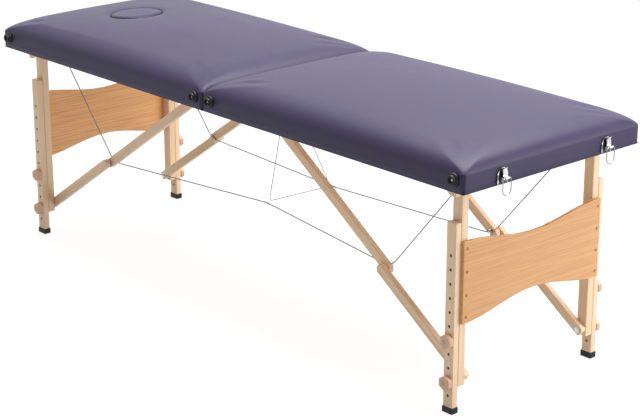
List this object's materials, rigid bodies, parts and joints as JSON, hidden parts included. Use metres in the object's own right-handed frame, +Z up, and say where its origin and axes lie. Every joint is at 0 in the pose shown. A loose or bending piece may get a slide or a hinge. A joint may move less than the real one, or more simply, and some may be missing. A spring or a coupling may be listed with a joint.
{
  "type": "folding massage table",
  "caption": "Portable massage table: padded folding top with a plugged face hole, on height-adjustable wooden legs held open by hinged braces and steel cables.",
  "frame": {"origin": "on the floor, under the middle of the seam between the two sections", "axes": "+X along the table to the foot end with the latches, +Y across to the side with the handles, +Z up"},
  "size_m": [1.8856, 0.6426, 0.667],
  "materials": {
    "vinyl": "satin purple-grey vinyl",
    "foam": "open-cell foam",
    "plywood": "clear-lacquered plywood",
    "beech": "clear-lacquered hardwood",
    "rubber": "matt black",
    "webbing": "black webbing",
    "chrome": "bright plated steel",
    "steel": "plain steel",
    "elastic": "pale braided elastic"
  },
  "bodies": {
    "head_half": {"head_frame": "beech", "head_deck": "plywood", "head_foam": "foam", "head_cover": "vinyl", "head_outer_bumper": "rubber", "head_seam_bumper": "rubber", "head_handle": "webbing", "head_hinge_leaf": "steel", "near_catch": "chrome", "far_catch": "chrome"},
    "foot_half": {"foot_frame": "beech", "foot_deck": "plywood", "foot_foam": "foam", "foot_cover": "vinyl", "foot_outer_bumper": "rubber", "foot_seam_bumper": "rubber", "foot_handle": "webbing", "foot_hinge_leaf": "steel", "near_latch_plate": "chrome", "far_latch_plate": "chrome"},
    "hinge_pin": {"hinge_pin": "steel", "near_cable": "steel", "far_cable": "steel", "spreader_cord": "elastic"},
    "face_plug": {"face_plug": "vinyl"},
    "head_legs": {"head_near_upper_leg": "beech", "head_far_upper_leg": "beech", "head_end_panel": "plywood"},
    "head_upper_braces": {"head_near_upper_brace": "beech", "head_far_upper_brace": "beech"},
    "head_lower_braces": {"head_near_lower_brace": "beech", "head_far_lower_brace": "beech"},
    "head_near_lower_leg": {"head_near_lower_leg": "beech", "head_near_rubber_foot": "rubber"},
    "head_near_high_knob": {"head_near_high_knob": "beech"},
    "head_near_low_knob": {"head_near_low_knob": "beech"},
    "head_far_lower_leg": {"head_far_lower_leg": "beech", "head_far_rubber_foot": "rubber"},
    "head_far_high_knob": {"head_far_high_knob": "beech"},
    "head_far_low_knob": {"head_far_low_knob": "beech"},
    "foot_legs": {"foot_near_upper_leg": "beech", "foot_far_upper_leg": "beech", "foot_end_panel": "plywood"},
    "foot_upper_braces": {"foot_near_upper_brace": "beech", "foot_far_upper_brace": "beech"},
    "foot_lower_braces": {"foot_near_lower_brace": "beech", "foot_far_lower_brace": "beech"},
    "foot_near_lower_leg": {"foot_near_lower_leg": "beech", "foot_near_rubber_foot": "rubber"},
    "foot_near_high_knob": {"foot_near_high_knob": "beech"},
    "foot_near_low_knob": {"foot_near_low_knob": "beech"},
    "foot_far_lower_leg": {"foot_far_lower_leg": "beech", "foot_far_rubber_foot": "rubber"},
    "foot_far_high_knob": {"foot_far_high_knob": "beech"},
    "foot_far_low_knob": {"foot_far_low_knob": "beech"},
    "near_latch_lever": {"near_latch_lever": "chrome"},
    "near_latch_loop": {"near_latch_loop": "chrome"},
    "far_latch_lever": {"far_latch_lever": "chrome"},
    "far_latch_loop": {"far_latch_loop": "chrome"}
  },
  "joints": [
    {"name": "seam_hinge_head_leaf", "type": "hinge", "parent": "head_half", "child": "hinge_pin", "pos_m": [0, 0, 0.5655], "axis": [0, 1, 0], "range_deg": [0, 60]},
    {"name": "seam_hinge_foot_leaf", "type": "hinge", "parent": "hinge_pin", "child": "foot_half", "pos_m": [0, 0, 0.5655], "axis": [0, 1, 0], "range_deg": [0, 120], "deforming": ["near_cable", "far_cable", "spreader_cord"]},
    {"name": "face_plug_lift", "type": "slide", "parent": "head_half", "child": "face_plug", "axis": [0, 0, 1], "range_m": [0, 0.12]},
    {"name": "head_legs_fold", "type": "hinge", "parent": "head_half", "child": "head_legs", "pos_m": [-0.851, 0, 0.592], "axis": [0, -1, 0], "range_deg": [0, 90]},
    {"name": "head_upper_braces_fold", "type": "hinge", "parent": "head_half", "child": "head_upper_braces", "pos_m": [-0.079, 0, 0.606], "axis": [0, 1, 0], "range_deg": [0, 34.03]},
    {"name": "head_lower_braces_fold", "type": "hinge", "parent": "head_legs", "child": "head_lower_braces", "pos_m": [-0.851, 0, 0.085], "axis": [0, -1, 0], "range_deg": [0, 53.59]},
    {"name": "head_near_height", "type": "slide", "parent": "head_legs", "child": "head_near_lower_leg", "axis": [0, 0, -1], "range_m": [-0.035, 0.21]},
    {"name": "head_near_high_knob_turn", "type": "hinge", "parent": "head_legs", "child": "head_near_high_knob", "pos_m": [-0.851, -0.2583, 0.185], "axis": [0, -1, 0], "continuous": true},
    {"name": "head_near_low_knob_turn", "type": "hinge", "parent": "head_legs", "child": "head_near_low_knob", "pos_m": [-0.851, -0.2583, 0.08], "axis": [0, -1, 0], "continuous": true},
    {"name": "head_far_height", "type": "slide", "parent": "head_legs", "child": "head_far_lower_leg", "axis": [0, 0, -1], "range_m": [-0.035, 0.21]},
    {"name": "head_far_high_knob_turn", "type": "hinge", "parent": "head_legs", "child": "head_far_high_knob", "pos_m": [-0.851, 0.2583, 0.185], "axis": [0, 1, 0], "continuous": true},
    {"name": "head_far_low_knob_turn", "type": "hinge", "parent": "head_legs", "child": "head_far_low_knob", "pos_m": [-0.851, 0.2583, 0.08], "axis": [0, 1, 0], "continuous": true},
    {"name": "foot_legs_fold", "type": "hinge", "parent": "foot_half", "child": "foot_legs", "pos_m": [0.851, 0, 0.592], "axis": [0, 1, 0], "range_deg": [0, 90]},
    {"name": "foot_upper_braces_fold", "type": "hinge", "parent": "foot_half", "child": "foot_upper_braces", "pos_m": [0.079, 0, 0.606], "axis": [0, -1, 0], "range_deg": [0, 34.03]},
    {"name": "foot_lower_braces_fold", "type": "hinge", "parent": "foot_legs", "child": "foot_lower_braces", "pos_m": [0.851, 0, 0.085], "axis": [0, 1, 0], "range_deg": [0, 53.59]},
    {"name": "foot_near_height", "type": "slide", "parent": "foot_legs", "child": "foot_near_lower_leg", "axis": [0, 0, -1], "range_m": [-0.035, 0.21]},
    {"name": "foot_near_high_knob_turn", "type": "hinge", "parent": "foot_legs", "child": "foot_near_high_knob", "pos_m": [0.851, -0.2583, 0.185], "axis": [0, -1, 0], "continuous": true},
    {"name": "foot_near_low_knob_turn", "type": "hinge", "parent": "foot_legs", "child": "foot_near_low_knob", "pos_m": [0.851, -0.2583, 0.08], "axis": [0, -1, 0], "continuous": true},
    {"name": "foot_far_height", "type": "slide", "parent": "foot_legs", "child": "foot_far_lower_leg", "axis": [0, 0, -1], "range_m": [-0.035, 0.21]},
    {"name": "foot_far_high_knob_turn", "type": "hinge", "parent": "foot_legs", "child": "foot_far_high_knob", "pos_m": [0.851, 0.2583, 0.185], "axis": [0, 1, 0], "continuous": true},
    {"name": "foot_far_low_knob_turn", "type": "hinge", "parent": "foot_legs", "child": "foot_far_low_knob", "pos_m": [0.851, 0.2583, 0.08], "axis": [0, 1, 0], "continuous": true},
    {"name": "near_lever_turn", "type": "hinge", "parent": "foot_half", "child": "near_latch_lever", "pos_m": [0.9388, -0.18, 0.583], "axis": [0, 1, 0], "range_deg": [0, 120]},
    {"name": "near_loop_swing", "type": "hinge", "parent": "near_latch_lever", "child": "near_latch_loop", "pos_m": [0.9453, -0.18, 0.5875], "axis": [0, 1, 0], "range_deg": [-120, 0]},
    {"name": "far_lever_turn", "type": "hinge", "parent": "foot_half", "child": "far_latch_lever", "pos_m": [0.9388, 0.18, 0.583], "axis": [0, 1, 0], "range_deg": [0, 120]},
    {"name": "far_loop_swing", "type": "hinge", "parent": "far_latch_lever", "child": "far_latch_loop", "pos_m": [0.9453, 0.18, 0.5875], "axis": [0, 1, 0], "range_deg": [-120, 0]}
  ],
  "couplings": [
    {"joint": "head_legs_fold", "follows": "seam_hinge_foot_leaf", "ratio": 0.75},
    {"joint": "head_upper_braces_fold", "follows": "seam_hinge_foot_leaf", "ratio": 0.28345},
    {"joint": "head_lower_braces_fold", "follows": "seam_hinge_foot_leaf", "ratio": 0.44649},
    {"joint": "foot_legs_fold", "follows": "seam_hinge_foot_leaf", "ratio": 0.75},
    {"joint": "foot_upper_braces_fold", "follows": "seam_hinge_foot_leaf", "ratio": 0.28345},
    {"joint": "foot_lower_braces_fold", "follows": "seam_hinge_foot_leaf", "ratio": 0.44649},
    {"joint": "near_loop_swing", "follows": "near_lever_turn", "ratio": -1},
    {"joint": "far_loop_swing", "follows": "far_lever_turn", "ratio": -1}
  ]
}
